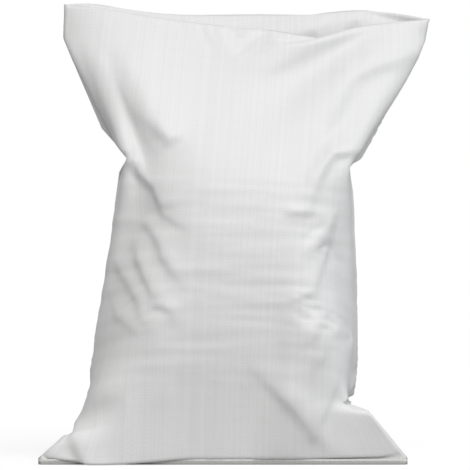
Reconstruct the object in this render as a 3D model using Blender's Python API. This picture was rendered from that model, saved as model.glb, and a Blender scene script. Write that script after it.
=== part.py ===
"""An empty woven polypropylene rubble sack, standing open on its sewn bottom.

Metres, +Z up. The origin is under the middle of the sack, on the floor. The sewn
hem runs along X, the front panel faces -Y and the mouth is at the top.
The sack is one flat woven tube: pushed round at the body, still flat at the mouth
and flat at the two bottom corners, which stand out as ears beside the body.
"""

import math

import bmesh
import bpy
import numpy as np

# The woven wall, thicker here than the real cloth, and the flattened hem.
WALL = 0.002
CORNER_WALL = 0.008
HEM_HEIGHT = 0.010
HEM_THICKNESS = 0.004
HEM_Y = -0.097

# Outline seen from the front: height and x of each side, floor to corner.
# Below the neck the sides belong to the round body, above it to the flat flare.
LEFT_SIDE = (
    (0.000, -0.180),
    (0.012, -0.212),
    (0.047, -0.238),
    (0.089, -0.230),
    (0.120, -0.220),
    (0.150, -0.217),
    (0.300, -0.194),
    (0.420, -0.179),
    (0.459, -0.179),
    (0.505, -0.202),
    (0.595, -0.2415),
    (0.639, -0.259),
    (0.688, -0.257),
)
RIGHT_SIDE = (
    (0.000, 0.150),
    (0.012, 0.170),
    (0.060, 0.182),
    (0.111, 0.184),
    (0.300, 0.182),
    (0.420, 0.178),
    (0.459, 0.188),
    (0.505, 0.218),
    (0.550, 0.247),
    (0.636, 0.287),
    (0.665, 0.293),
)

# Where a side buckles inwards: the height of the nick, its depth and its half height.
LEFT_NICKS = ((0.459, 0.016, 0.012),)
RIGHT_NICKS = ((0.094, 0.018, 0.009), (0.449, 0.015, 0.010))
NICK_POWER = 12

# The flat ears: height and x of their outer edges.
LEFT_EAR = ((0.000, -0.292), (0.010, -0.292), (0.045, -0.254), (0.050, -0.240))
RIGHT_EAR = ((0.000, 0.257), (0.012, 0.256), (0.078, 0.204), (0.088, 0.190), (0.094, 0.170))
EAR_POINTS = 3
EAR_CLOSED = 0.006

# Profile seen from the side, at the middle of the sack: height and y.
FRONT = (
    (0.000, HEM_Y - HEM_THICKNESS / 2),
    (HEM_HEIGHT, HEM_Y - HEM_THICKNESS / 2),
    (0.030, HEM_Y - 0.005),
    (0.060, HEM_Y - 0.011),
    (0.110, HEM_Y - 0.020),
    (0.170, HEM_Y - 0.030),
    (0.250, HEM_Y - 0.034),
    (0.300, HEM_Y - 0.032),
    (0.350, HEM_Y - 0.025),
    (0.400, HEM_Y - 0.015),
    (0.440, HEM_Y - 0.002),
    (0.480, HEM_Y + 0.021),
    (0.520, HEM_Y + 0.044),
    (0.580, HEM_Y + 0.075),
    (0.640, HEM_Y + 0.108),
    (0.680, HEM_Y + 0.116),
)
BACK = (
    (0.000, HEM_Y + 0.138),
    (0.012, HEM_Y + 0.150),
    (0.030, HEM_Y + 0.174),
    (0.060, HEM_Y + 0.204),
    (0.110, HEM_Y + 0.223),
    (0.170, HEM_Y + 0.231),
    (0.250, HEM_Y + 0.238),
    (0.400, HEM_Y + 0.238),
    (0.440, HEM_Y + 0.227),
    (0.480, HEM_Y + 0.206),
    (0.520, HEM_Y + 0.188),
    (0.580, HEM_Y + 0.156),
    (0.630, HEM_Y + 0.146),
    (0.680, HEM_Y + 0.158),
)

# The tube's two long creases: height and y.
CREASE = (
    (0.000, HEM_Y),
    (HEM_HEIGHT, HEM_Y),
    (0.050, HEM_Y + 0.002),
    (0.094, HEM_Y + 0.006),
    (0.110, HEM_Y + 0.024),
    (0.140, HEM_Y + 0.070),
    (0.170, HEM_Y + 0.092),
    (0.300, HEM_Y + 0.110),
    (0.420, HEM_Y + 0.118),
    (0.460, HEM_Y + 0.113),
    (0.500, HEM_Y + 0.130),
    (0.600, HEM_Y + 0.128),
    (0.680, HEM_Y + 0.142),
)

# The front panel is flat in the middle and slants back at the sides. Height, the share of the
# half width that is flat on the left and on the right, and how square the ends are.
FRONT_FLAT_LEFT = (
    (0.000, 0.85), (0.104, 0.85), (0.130, 0.80), (0.170, 0.70), (0.210, 0.55), (0.250, 0.45),
    (0.300, 0.35), (0.420, 0.30), (0.500, 0.30), (0.600, 0.10), (0.680, 0.00),
)
FRONT_FLAT_RIGHT = (
    (0.000, 0.88), (0.104, 0.88), (0.170, 0.84), (0.210, 0.75), (0.250, 0.66), (0.300, 0.61),
    (0.350, 0.52), (0.500, 0.45), (0.600, 0.10), (0.680, 0.00),
)
FRONT_ENDS = (
    (0.000, 1.25), (0.250, 1.25), (0.300, 1.40), (0.350, 1.60), (0.385, 2.10), (0.420, 3.00),
    (0.500, 4.00), (0.550, 2.40), (0.610, 1.30), (0.680, 1.00),
)
FRONT_BEND = 1.6

# The back panel is round: height, and the two powers of its superellipse.
BACK_BEND = ((0.000, 2.6), (0.110, 2.6), (0.250, 2.8), (0.390, 2.8), (0.460, 3.4), (0.600, 2.4), (0.680, 2.0))
BACK_ENDS = ((0.000, 1.8), (0.110, 2.0), (0.390, 2.2), (0.460, 2.4), (0.520, 1.8), (0.600, 1.3), (0.680, 1.0))

# Swells: x and height of the middle, how far x leans for each metre of height, how far the
# panel stands out, and its reach across and up. They fade out towards the hem.
FRONT_SWELLS = ((0.094, 0.100, 0.0, 0.015, 0.040, 0.058),)
BACK_SWELLS = ((-0.142, 0.545, -0.75, 0.027, 0.048, 0.062), (0.188, 0.545, 0.90, 0.027, 0.048, 0.062))
SWELLS_START = (HEM_HEIGHT, 0.045)

# The heat-cut rim: x and height, left corner to right corner.
FRONT_RIM = (
    (-0.257, 0.688),
    (-0.173, 0.674),
    (-0.053, 0.658),
    (0.055, 0.649),
    (0.128, 0.637),
    (0.180, 0.652),
    (0.240, 0.664),
    (0.293, 0.665),
)
BACK_RIM = (
    (-0.257, 0.688),
    (-0.173, 0.683),
    (-0.053, 0.672),
    (0.110, 0.672),
    (0.190, 0.681),
    (0.240, 0.676),
    (0.293, 0.665),
)
NOMINAL_RIM = 0.680
RIM_BLEND_START = 0.480
FLARE = (0.460, 0.600)

LEVELS = (
    0.000, 0.010, 0.014, 0.030, 0.045, 0.065, 0.084, 0.094, 0.104, 0.120, 0.150, 0.210, 0.270,
    0.330, 0.385, 0.425, 0.439, 0.449, 0.459, 0.472, 0.490, 0.520, 0.555, 0.595, 0.639, 0.680,
)
PANEL_STATIONS = 20

THREAD_RADIUS = 0.0005
THREAD_GAP = 0.0003
THREAD_HEIGHT = 0.006
THREAD_INSET = 0.008


def read_curve(points, at):
    """The second column of a list of points, read at the given places of the first."""
    table = np.array(points)
    return np.interp(at, table[:, 0], table[:, 1])


def smooth(low, high, value):
    """0 below low, 1 above high, and a smooth step between."""
    t = np.clip((value - low) / (high - low), 0.0, 1.0)
    return t * t * (3.0 - 2.0 * t)


def nick(nicks, height):
    """How far the nicks of one side reach inwards at a height."""
    return sum(depth * math.exp(-(((height - centre) / reach) ** 2)) for centre, depth, reach in nicks)


def side_heights(level):
    """Height of the left and right crease at a level, which the rim's corners pull apart."""
    pull = smooth(RIM_BLEND_START, NOMINAL_RIM, level)
    left_corner = FRONT_RIM[0][1] - NOMINAL_RIM
    right_corner = FRONT_RIM[-1][1] - NOMINAL_RIM
    return level + pull * left_corner, level + pull * right_corner


def panel_depth(across, level, front):
    """A panel's depth at each place across, as a share of its depth at the middle.

    The depth is (1 - t^p)^(1/q). t is 0 over the flat part of the panel and grows evenly
    from the end of that part to 1 at the crease.
    """
    if front:
        flat_left = read_curve(FRONT_FLAT_LEFT, level)
        flat_right = read_curve(FRONT_FLAT_RIGHT, level)
        flat = np.where(across < 0, flat_left, flat_right)
        bend, ends = FRONT_BEND, read_curve(FRONT_ENDS, level)
    else:
        flat = 0.0
        bend, ends = read_curve(BACK_BEND, level), read_curve(BACK_ENDS, level)
    t = np.maximum(0.0, np.abs(across) - flat) / (1.0 - flat)
    return np.maximum(0.0, 1.0 - t**bend) ** (1.0 / ends)


def swell_out(swells, x, level):
    """How far a panel's swells stand out at each x: a sum of Gaussian bumps."""
    total = np.zeros_like(x)
    for middle_x, middle_z, lean, depth, reach_x, reach_z in swells:
        aside = (x - middle_x - lean * (level - middle_z)) / reach_x
        up = (level - middle_z) / reach_z
        total += depth * np.exp(-(aside**2) - up**2)
    return total * smooth(*SWELLS_START, level)


def half_section(level, inset, front):
    """One panel's points at a level, from the left crease to the right one.

    Cosine spacing puts more points towards the creases.
    """
    left_z, right_z = side_heights(level)
    side_inset = 0.0
    if inset > 0.0:
        side_inset = inset + (CORNER_WALL - inset) * smooth(*FLARE, level)
    left = read_curve(LEFT_SIDE, left_z) + side_inset
    right = read_curve(RIGHT_SIDE, right_z) - side_inset
    across = -np.cos(np.linspace(0.0, math.pi, PANEL_STATIONS + 1))
    x = (left + right) / 2 + across * (right - left) / 2
    edge_only = np.abs(across) ** NICK_POWER
    x += np.where(across < 0, nick(LEFT_NICKS, left_z), -nick(RIGHT_NICKS, right_z)) * edge_only

    crease = read_curve(CREASE, level)
    edge = read_curve(FRONT if front else BACK, level) + (inset if front else -inset)
    swell = swell_out(FRONT_SWELLS if front else BACK_SWELLS, x, level)
    edge = edge - swell if front else edge + swell
    y = crease + (edge - crease) * panel_depth(across, level, front)

    rim = read_curve(FRONT_RIM if front else BACK_RIM, x)
    z = level + smooth(RIM_BLEND_START, NOMINAL_RIM, level) * (rim - NOMINAL_RIM)
    return np.stack([x, y, z], axis=1)


def add_ear(panel, level, front):
    """Draw the panel's end points out along the hem, into the flat ears at both sides."""
    side = -1.0 if front else 1.0
    for ear, ends in ((LEFT_EAR, range(EAR_POINTS + 1)), (RIGHT_EAR, range(-1, -EAR_POINTS - 2, -1))):
        top = ear[-1][0]
        if level >= top:
            continue
        tip = read_curve(ear, level)
        root = panel[ends[-1], 0]
        for step, index in enumerate(ends[:-1]):
            share = step / EAR_POINTS
            half = 0.0 if step == 0 else side * HEM_THICKNESS / 2
            panel[index, 0] = tip + (root - tip) * share
            panel[index, 1] = read_curve(CREASE, level) + half
    return panel


def stop_at_ear(panel, level):
    """Draw the inner panel's end points straight in to the crease, where the ear begins.

    In an ear the two layers lie on each other, so the hollow ends short of it.
    """
    for ear, ends in ((LEFT_EAR, range(EAR_POINTS + 1)), (RIGHT_EAR, range(-1, -EAR_POINTS - 2, -1))):
        if level >= ear[-1][0]:
            continue
        root = panel[ends[-1]].copy()
        ear_length = read_curve(ear, level) - root[0]
        corner = ear_length / EAR_POINTS - math.copysign(EAR_CLOSED, ear_length)
        crease = read_curve(CREASE, level)
        for step, index in enumerate(ends[:-1]):
            share = 1.0 - step / EAR_POINTS
            panel[index, 0] = root[0] + corner * share
            panel[index, 1] = root[1] + (crease - root[1]) * share
    return panel


def section(level, inset):
    """A closed ring of points: the front panel left to right, then the back panel home again."""
    front = half_section(level, inset, True)
    back = half_section(level, inset, False)
    if inset > 0.0:
        front = stop_at_ear(front, level)
        back = stop_at_ear(back, level)
    else:
        front = add_ear(front, level, True)
        back = add_ear(back, level, False)
    return np.concatenate([front, back[-2:0:-1]])


def join_rings(faces, low, high, count, outward):
    """Quads between two rings of the same count, facing out or in."""
    for i in range(count):
        j = (i + 1) % count
        quad = (low + i, low + j, high + j, high + i)
        faces.append(quad if outward else quad[::-1])


def make_sack(collection, material):
    """The tube's outer skin and inner skin, closed at the bottom and joined at the rim."""
    outer = [section(level, 0.0) for level in LEVELS]
    raised = np.array([0.0, 0.0, WALL])
    inner = [section(level, WALL) + raised for level in LEVELS[:-1]]
    inner.append(section(LEVELS[-1], WALL))

    count = len(outer[0])
    points = np.concatenate(outer + inner)
    start_inner = count * len(outer)
    faces = []
    for k in range(len(outer) - 1):
        join_rings(faces, k * count, (k + 1) * count, count, True)
    for k in range(len(inner) - 1):
        low = start_inner + k * count
        join_rings(faces, low, low + count, count, False)
    join_rings(faces, (len(outer) - 1) * count, start_inner + (len(inner) - 1) * count, count, True)
    add_floor(faces, 0, False)
    add_floor(faces, start_inner, True)
    return make_object("sack_body", points, faces, collection, material)


def add_floor(faces, start, upward):
    """Close a ring with strips from its front half to its back half."""
    count = 2 * PANEL_STATIONS
    for i in range(PANEL_STATIONS):
        near, far = start + i, start + i + 1
        near_back = start + (count - i) % count
        far_back = start + count - i - 1
        strip = [near, far, far_back, near_back]
        face = list(dict.fromkeys(strip))
        faces.append(tuple(face) if upward else tuple(face[::-1]))


def make_object(name, points, faces, collection, material):
    mesh = bpy.data.meshes.new(name)
    mesh.from_pydata([tuple(p) for p in points], [], faces)
    work = bmesh.new()
    work.from_mesh(mesh)
    bmesh.ops.triangulate(work, faces=[f for f in work.faces if len(f.verts) > 3])
    work.to_mesh(mesh)
    work.free()
    mesh.shade_smooth()
    mesh.set_sharp_from_angle(angle=math.radians(50.0))
    mesh.materials.append(material)
    obj = bpy.data.objects.new(name, mesh)
    collection.objects.link(obj)
    return obj


def make_thread(collection, material):
    """The sewing thread that closes the bottom, along the front of the hem under the bulge."""
    y = HEM_Y - HEM_THICKNESS / 2 - THREAD_GAP - THREAD_RADIUS
    ends = (LEFT_EAR[0][1] + THREAD_INSET, RIGHT_EAR[0][1] - THREAD_INSET)
    curve = bpy.data.curves.new("hem_thread", "CURVE")
    curve.dimensions = "3D"
    curve.bevel_depth = THREAD_RADIUS
    curve.bevel_resolution = 2
    curve.use_fill_caps = True
    spline = curve.splines.new("POLY")
    spline.points.add(1)
    for point, x in zip(spline.points, ends):
        point.co = (x, y, THREAD_HEIGHT, 1.0)
    curve.materials.append(material)
    obj = bpy.data.objects.new("hem_thread", curve)
    collection.objects.link(obj)
    return obj


def make_material(name, colour, roughness):
    material = bpy.data.materials.new(name)
    material.use_nodes = True
    shader = material.node_tree.nodes["Principled BSDF"]
    shader.inputs["Base Color"].default_value = (*colour, 1.0)
    shader.inputs["Roughness"].default_value = roughness
    shader.inputs["Metallic"].default_value = 0.0
    return material


def main():
    for obj in list(bpy.data.objects):
        bpy.data.objects.remove(obj, do_unlink=True)
    collection = bpy.data.collections.new("rubble_sack")
    bpy.context.scene.collection.children.link(collection)
    woven = make_material("woven_tape", (0.80, 0.80, 0.79), 0.50)
    thread = make_material("sewing_thread", (0.72, 0.72, 0.70), 0.75)
    make_sack(collection, woven)
    make_thread(collection, thread)


main()
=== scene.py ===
# %% [markdown]
# # A rubble sack, open on its sewn bottom
# The sack is a tube woven flat from white plastic tape, closed at the bottom by a folded, stitched hem,
# and cut open at the top. The imported solids say where it stands; this lesson dresses them with cloth.
# First the frame is loaded and the box of its hem thread is kept, because the stitches are laid along it.

# %% The imported frame
import math

import bpy
import numpy as np
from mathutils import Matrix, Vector


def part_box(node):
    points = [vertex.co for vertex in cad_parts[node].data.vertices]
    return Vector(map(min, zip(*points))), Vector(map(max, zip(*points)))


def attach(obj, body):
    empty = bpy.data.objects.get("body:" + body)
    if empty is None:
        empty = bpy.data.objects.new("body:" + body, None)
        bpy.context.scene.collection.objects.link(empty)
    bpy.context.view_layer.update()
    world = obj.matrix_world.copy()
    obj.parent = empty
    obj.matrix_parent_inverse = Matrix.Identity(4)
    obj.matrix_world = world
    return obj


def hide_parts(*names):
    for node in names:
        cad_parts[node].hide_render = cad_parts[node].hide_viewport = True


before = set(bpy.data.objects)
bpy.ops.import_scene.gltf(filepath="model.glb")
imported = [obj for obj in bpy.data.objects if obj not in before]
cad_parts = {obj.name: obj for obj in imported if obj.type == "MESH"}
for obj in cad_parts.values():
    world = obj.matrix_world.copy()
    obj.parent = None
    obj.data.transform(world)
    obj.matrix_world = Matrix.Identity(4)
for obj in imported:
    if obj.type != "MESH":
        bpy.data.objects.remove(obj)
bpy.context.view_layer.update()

thread_low, thread_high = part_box("hem_thread")

# %% [markdown]
# ## The camera
# The photograph is almost straight on, from a little above, with a long lens: upright edges
# stay upright and the hem is drawn no larger than the mouth behind it. From 12 m away, with a
# picture 0.70 m wide, the camera sees the sack in the same way.

# %% The camera
CAMERA_HEIGHT_ANGLE = 1.5
CAMERA_DISTANCE = 12.0
PICTURE_WIDTH = 0.7045
AIM = Vector((0.0, 0.0, 0.3395))


def put_in_scene(name, data):
    """A new object for this data, linked to the scene."""
    thing = bpy.data.objects.new(name, data)
    bpy.context.scene.collection.objects.link(thing)
    return thing


camera_data = bpy.data.cameras.new("camera")
camera_data.sensor_width = 36.0
camera_data.lens = camera_data.sensor_width * CAMERA_DISTANCE / PICTURE_WIDTH
camera = put_in_scene("camera", camera_data)
tilt = math.radians(CAMERA_HEIGHT_ANGLE)
camera.location = AIM + CAMERA_DISTANCE * Vector((0.0, -math.cos(tilt), math.sin(tilt)))
camera.rotation_euler = (AIM - camera.location).to_track_quat("-Z", "Y").to_euler()
bpy.context.scene.camera = camera
print("lens", round(camera_data.lens, 1), "mm")

# %% [markdown]
# ## The flat tube
# Laid flat, the tube is a front and a back panel, each as wide as the sack. A grid follows it:
# one direction runs round the tube, from the left crease over the front to the right crease
# and home over the back, and the other runs from the stitched line up to the mouth.
# A real tube is as long in front as behind. Here the free lengths differ, which real cloth
# could only do by gathering: the front's is shorter, or it would pile up in more folds than
# the photograph shows, and the back's is longer, because it goes round the belly.

# %% The flat tube
LAY_FLAT = 0.553
FRONT_FREE, SIDE_FREE, BACK_FREE = 0.668, 0.772, 0.870
# The power that leads from the side's length to the middle's: the lower, the sooner.
SWELL = 0.35
COARSE_AROUND, COARSE_ALONG = 56, 44
HEM_Y = -0.097
HEM_LEFT, HEM_RIGHT, HEM_TOP = -0.2925, 0.2565, 0.010
# How far each panel lies from the middle of the flat tube, and of its stitched line.
PANEL_AWAY, HEM_AWAY = 0.006, 0.0012


def column_lengths(around):
    """Free length of each column: the sine of its place, to a power, leads from side to middle."""
    place = np.arange(around) / (around // 2)
    swell = np.abs(np.sin(np.pi * place)) ** SWELL
    middle = np.where(place <= 1.0, FRONT_FREE, BACK_FREE)
    return SIDE_FREE + (middle - SIDE_FREE) * swell


def flat_tube(around, along):
    """The grid as (3, around, along + 1) coordinates: the tube held up flat over its hem."""
    half = around // 2
    step = np.arange(around)
    across = np.where(step <= half, step / half, 2.0 - step / half)
    layer = np.where((step > 0) & (step < half), -1.0, np.where(step > half, 1.0, 0.0))
    grid = np.zeros((3, around, along + 1), np.float32)
    grid[0] = (HEM_LEFT + across * (HEM_RIGHT - HEM_LEFT))[:, None]
    grid[1] = HEM_Y + (layer * PANEL_AWAY)[:, None]
    grid[1, :, 0] = HEM_Y + layer * HEM_AWAY
    grid[2] = HEM_TOP + np.linspace(0.0, 1.0, along + 1)[None, :] * column_lengths(around)[:, None]
    return grid


print("free lengths", np.round(column_lengths(8), 3).tolist())

# %% [markdown]
# ## Cloth to spare
# Where the filling has slumped, the cloth hangs in small creases. They come by themselves when
# the threads there are given slightly more length than the straight way needs: a little in the
# middle of the front, more towards its two sides and on the back.

# %% Cloth to spare
SLACK_MIDDLE, SLACK_REACH, SLACK_FLOOR = 0.40, 0.24, 0.25
# Each: the place round the tube, 0 to 1 over the front and 1 to 2 over the back, then its
# width there and how much it adds.
SLACK_CORNERS = ((0.26, 0.12, 0.4), (0.74, 0.12, 0.4), (1.27, 0.12, 1.0), (1.73, 0.12, 1.0))


def slump(height):
    """1 where the filling bears on the cloth, 0 at hem and flare; height is a share of the whole."""
    return np.exp(-(((height - SLACK_MIDDLE) / SLACK_REACH) ** 4))


def slack(around, rows, gain):
    """Extra free length of each cell up a column, as a share of its length.

    It is gain times the slump in height times a level round the tube, which is a floor
    plus one bell curve at each of the four places.
    """
    place = (np.arange(around) / (around // 2))[:, None]
    height = np.linspace(0.0, 1.0, rows)[None, :]
    bell = slump(height)
    corners = sum(most * np.exp(-(((place - at) / wide) ** 2)) for at, wide, most in SLACK_CORNERS)
    return (gain * bell * (SLACK_FLOOR + corners)).astype(np.float32)


print("slack, most as a share of its gain", round(float(slack(COARSE_AROUND, COARSE_ALONG, 1.0).max()), 2))

# %% [markdown]
# ## What keeps it open
# The sack in the photograph stands as if it were filled. The filling isn't part of the object,
# so it is only a form in numbers that the cloth can't enter: a block with a flat front, two
# slanting flanks and a rounder back, wider at the foot than at the neck. The two flanks differ,
# because in the photograph the left one catches less light and is broader.

# %% The form inside
# Columns: height, half width, middle in x, front and back measured from the hem, and how far
# out its flat front reaches to the left and to the right, as shares of the half width.
FORM_KEYS = np.array([
    (0.000, 0.180, -0.024, -0.004, 0.160, 0.82, 0.76), (0.050, 0.203, -0.030, -0.014, 0.208, 0.82, 0.82),
    (0.100, 0.203, -0.021, -0.023, 0.220, 0.76, 0.86), (0.150, 0.2005, -0.0155, -0.030, 0.226, 0.68, 0.86),
    (0.200, 0.196, -0.012, -0.033, 0.229, 0.60, 0.80), (0.250, 0.191, -0.008, -0.034, 0.230, 0.52, 0.71),
    (0.300, 0.187, -0.005, -0.032, 0.230, 0.46, 0.62), (0.360, 0.181, -0.002, -0.024, 0.228, 0.42, 0.55),
    (0.400, 0.178, -0.001, -0.016, 0.228, 0.44, 0.53), (0.430, 0.174, 0.001, -0.006, 0.220, 0.50, 0.54),
    (0.460, 0.160, 0.003, 0.006, 0.208, 0.58, 0.56), (0.490, 0.130, 0.006, 0.026, 0.190, 0.62, 0.60),
    (0.520, 0.080, 0.008, 0.056, 0.165, 0.62, 0.60), (0.540, 0.030, 0.008, 0.090, 0.140, 0.62, 0.60),
])
FORM_STEP, FORM_SMOOTHED_OVER = 0.005, 0.070


def smooth_table(keys, step, reach):
    """The table read every step of height and averaged with a raised cosine as wide as reach."""
    heights = np.arange(0.0, keys[-1, 0], step)
    bell = np.hanning(int(reach / step) + 2)[1:-1]
    bell /= bell.sum()
    edge = len(bell) // 2
    columns = [heights]
    for column in keys.T[1:]:
        line = np.pad(np.interp(heights, keys[:, 0], column), edge, mode="reflect", reflect_type="odd")
        columns.append(np.convolve(line, bell, mode="same")[edge:len(line) - edge])
    return np.array(columns)


FORM = smooth_table(FORM_KEYS, FORM_STEP, FORM_SMOOTHED_OVER)
print("form depth at the belly", round(float((FORM[4] - FORM[3]).max()), 3))

# %% [markdown]
# ## Keeping out of the form
# A point of the cloth that has come inside is moved straight out to the form's surface. For
# that the form is a formula and not a mesh: its level says how far in a point is, and its slope
# says which way is out. High powers give it flat faces and short, rounded edges.

# %% Keeping out of the form
FORM_BASE, FORM_TOP = 0.004, 0.540
# Powers: the higher, the sharper the edges between the faces that meet there.
FORM_FRONT_EDGES, FORM_BACK_EDGES = 9.0, 3.5
FORM_UPPER, FORM_LOWER_FRONT, FORM_LOWER_BACK = 6.0, 4.0, 6.0
# How far forward each flank still is at the side, as a share of the half depth.
SIDE_SHARE = 0.2
# Shares of the full form: least depth, width of the empty sack and what filling adds to it.
LEAST_DEPTH, EMPTY_WIDTH, FILLED_MORE = 0.02, 0.7, 0.3
FARTHEST_PUSH = 0.02


def push_out(grid, grown):
    """Move points inside the form to its surface, along its slope.

    With x and y measured from the middle in half widths and half depths, the plan is
    (x^m + f^m + y^m)^(1/m), where f is the flank's plane from the flat front's end to the
    side, and m is one power in front and another behind. The half width is enlarged so
    that, at mid depth, the plan passes through the table's width. With z in half heights
    the level is (plan^n + z^n)^(1/n), and the form is where it is under 1. grown, from 0
    to 1, is how deep the form has become while the sack fills.
    """
    height = grid[2]
    read = [np.interp(height, FORM[0], column) for column in FORM[1:]]
    half_width, middle_x, front, back, reach_left, reach_right = read
    half_depth = (back - front) / 2 * max(grown, LEAST_DEPTH)
    middle_y = HEM_Y + (front + back) / 2 * grown
    half_height = (FORM_TOP - FORM_BASE) / 2
    y = (grid[1] - middle_y) / half_depth
    reach = np.where(grid[0] < middle_x, reach_left, reach_right)
    lean_x, lean_y = 1.0 - SIDE_SHARE, 1.0 - reach
    whole = lean_x * reach + lean_y
    m = np.where(y < 0.0, FORM_FRONT_EDGES, FORM_BACK_EDGES)
    half_width *= (EMPTY_WIDTH + FILLED_MORE * grown) * (1.0 + (lean_x / whole) ** m) ** (1.0 / m)
    x = (grid[0] - middle_x) / half_width
    z = (height - (FORM_TOP + FORM_BASE) / 2) / half_height
    n = np.where(z < 0.0, np.where(y < 0.0, FORM_LOWER_FRONT, FORM_LOWER_BACK), FORM_UPPER)
    size_x, size_y, size_z = (np.abs(part) + 1e-6 for part in (x, y, z))
    flank = (lean_x * size_x + lean_y * size_y) / whole
    plan = (size_x**m + flank**m + size_y**m) ** (1.0 / m)
    level = (plan**n + size_z**n) ** (1.0 / n)
    outer = (plan / level) ** (n - 1.0)
    along_x = (size_x / plan) ** (m - 1.0) + (flank / plan) ** (m - 1.0) * lean_x / whole
    along_y = (size_y / plan) ** (m - 1.0) + (flank / plan) ** (m - 1.0) * lean_y / whole
    slope = np.stack([
        outer * along_x * np.sign(x) / half_width,
        outer * along_y * np.sign(y) / half_depth,
        (size_z / level) ** (n - 1.0) * np.sign(z) / half_height,
    ])
    steep = (slope**2).sum(0) + 1e-9
    move = slope * np.where(level < 1.0, (1.0 - level) / steep, 0.0)
    far = np.sqrt((move**2).sum(0)) + 1e-12
    grid += move * np.minimum(1.0, FARTHEST_PUSH / far)


print("form height", round(FORM_TOP - FORM_BASE, 3), "pushed out by", FARTHEST_PUSH, "m a step at most")

# %% [markdown]
# ## The outline
# The outline is plain to see in the photograph. Each side is a list of heights with the place
# in x there: the ear beside the foot, the body, the notch at the neck and the flare above it.
# A fold that stands out past it is moved back to it.

# %% The outline
OUTLINE_LEFT = np.array([
    (0.000, -0.2925), (0.010, -0.2925), (0.0435, -0.2555), (0.0445, -0.2425), (0.073, -0.237),
    (0.092, -0.2275), (0.113, -0.2168), (0.138, -0.2178), (0.150, -0.2165), (0.242, -0.2015),
    (0.300, -0.1925), (0.420, -0.1755), (0.433, -0.174), (0.4555, -0.161), (0.470, -0.174),
    (0.499, -0.200), (0.542, -0.2185), (0.587, -0.238), (0.634, -0.258), (0.688, -0.257),
])
OUTLINE_RIGHT = np.array([
    (0.000, 0.257), (0.012, 0.2565), (0.0765, 0.204), (0.0835, 0.1985), (0.0885, 0.186),
    (0.0905, 0.161), (0.0945, 0.161), (0.0965, 0.174), (0.1005, 0.179), (0.1065, 0.1825),
    (0.1125, 0.1845), (0.280, 0.183), (0.3365, 0.1795), (0.370, 0.180), (0.378, 0.182),
    (0.384, 0.180), (0.4435, 0.1705), (0.448, 0.180), (0.4535, 0.1895), (0.497, 0.2155),
    (0.542, 0.2425), (0.587, 0.268), (0.634, 0.2875), (0.6625, 0.293),
])
PANELS_APART = 0.003


def keep_outline(grid, share):
    """Move what stands out past the outline back to it, by a share of its way."""
    low = np.interp(grid[2], OUTLINE_LEFT[:, 0], OUTLINE_LEFT[:, 1])
    high = np.interp(grid[2], OUTLINE_RIGHT[:, 0], OUTLINE_RIGHT[:, 1])
    grid[0] += (np.clip(grid[0], low, high) - grid[0]) * share


def keep_order(grid):
    """Part the two panels where the front one isn't far enough before the back one."""
    half = grid.shape[1] // 2
    front, back = grid[1, 1:half], grid[1, :half:-1]
    crossed = np.maximum(0.0, front + PANELS_APART - back) * 0.5
    front -= crossed
    back += crossed


print("widest", round(OUTLINE_RIGHT[-1, 1] - OUTLINE_LEFT[0, 1], 4), "m, from ear to mouth corner")

# %% [markdown]
# ## Where the photograph holds it
# Some more lines can be read off: the creases down the two ears and the flare, and the rim,
# which dips in front. The cloth is drawn gently towards them while it settles, and everything
# between is its own work.

# %% Ears, flare and rim
# The depth of the mouth's corners, and how far its front and back edge bow away from there.
MOUTH_Y = HEM_Y + 0.142
MOUTH_FRONT, MOUTH_BACK = 0.026, 0.032
# Along each crease: distance from the stitched line, then x, y and height.
EAR_LEFT = np.array([
    (0.000, HEM_LEFT, HEM_Y, HEM_TOP), (0.052, -0.2555, HEM_Y - 0.006, 0.044),
    (0.070, -0.2405, HEM_Y + 0.018, 0.0415),
])
EAR_RIGHT = np.array([
    (0.000, HEM_RIGHT, HEM_Y, HEM_TOP), (0.093, 0.1985, HEM_Y - 0.020, 0.083),
    (0.128, 0.165, HEM_Y + 0.004, 0.0915),
])
FLARE_LEFT = np.array([
    (SIDE_FREE - 0.262, -0.161, HEM_Y + 0.107, 0.4555), (SIDE_FREE - 0.200, -0.202, HEM_Y + 0.120, 0.501),
    (SIDE_FREE - 0.050, -0.258, MOUTH_Y, 0.634), (SIDE_FREE, -0.257, MOUTH_Y, 0.685),
])
FLARE_RIGHT = np.array([
    (SIDE_FREE - 0.262, 0.1705, HEM_Y + 0.107, 0.4435), (SIDE_FREE - 0.240, 0.1895, HEM_Y + 0.112, 0.4535),
    (SIDE_FREE - 0.029, 0.287, MOUTH_Y, 0.634), (SIDE_FREE, 0.293, MOUTH_Y, 0.6625),
])
# Along the rim: x and height.
RIM_FRONT = np.array([
    (-0.257, 0.685), (-0.218, 0.683), (-0.178, 0.677), (-0.138, 0.670), (-0.088, 0.661), (-0.058, 0.658),
    (0.002, 0.650), (0.052, 0.647), (0.092, 0.640), (0.138, 0.633), (0.1445, 0.636), (0.1625, 0.645),
    (0.182, 0.651), (0.2025, 0.655), (0.233, 0.659), (0.263, 0.662), (0.293, 0.6625),
])
RIM_BACK = np.array([
    (-0.257, 0.685), (-0.238, 0.687), (-0.218, 0.6865), (-0.198, 0.684), (-0.178, 0.680), (-0.130, 0.673),
    (-0.098, 0.670), (-0.058, 0.669), (0.035, 0.670), (0.116, 0.669), (0.1325, 0.672), (0.1625, 0.675),
    (0.1965, 0.677), (0.212, 0.674), (0.242, 0.672), (0.272, 0.667), (0.293, 0.6625),
])
print("mouth", round(FLARE_RIGHT[-1, 1] - FLARE_LEFT[-1, 1], 4), "m wide")

# %% [markdown]
# ## Guides
# A guide is a crease or a rim with a pull. It is weak in depth, where the photograph says
# little, and the two mouth corners alone are set in place outright. The same class keeps the
# cloth inside the outline, its panels in order and its back close to the box of the solids.

# %% Guides
CREASE_PULL = np.array([0.3, 0.1, 0.3])[:, None]
RIM_PULL = 0.1
OUTLINE_PULL = 0.5
BACK_LIMIT = 0.154
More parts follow.
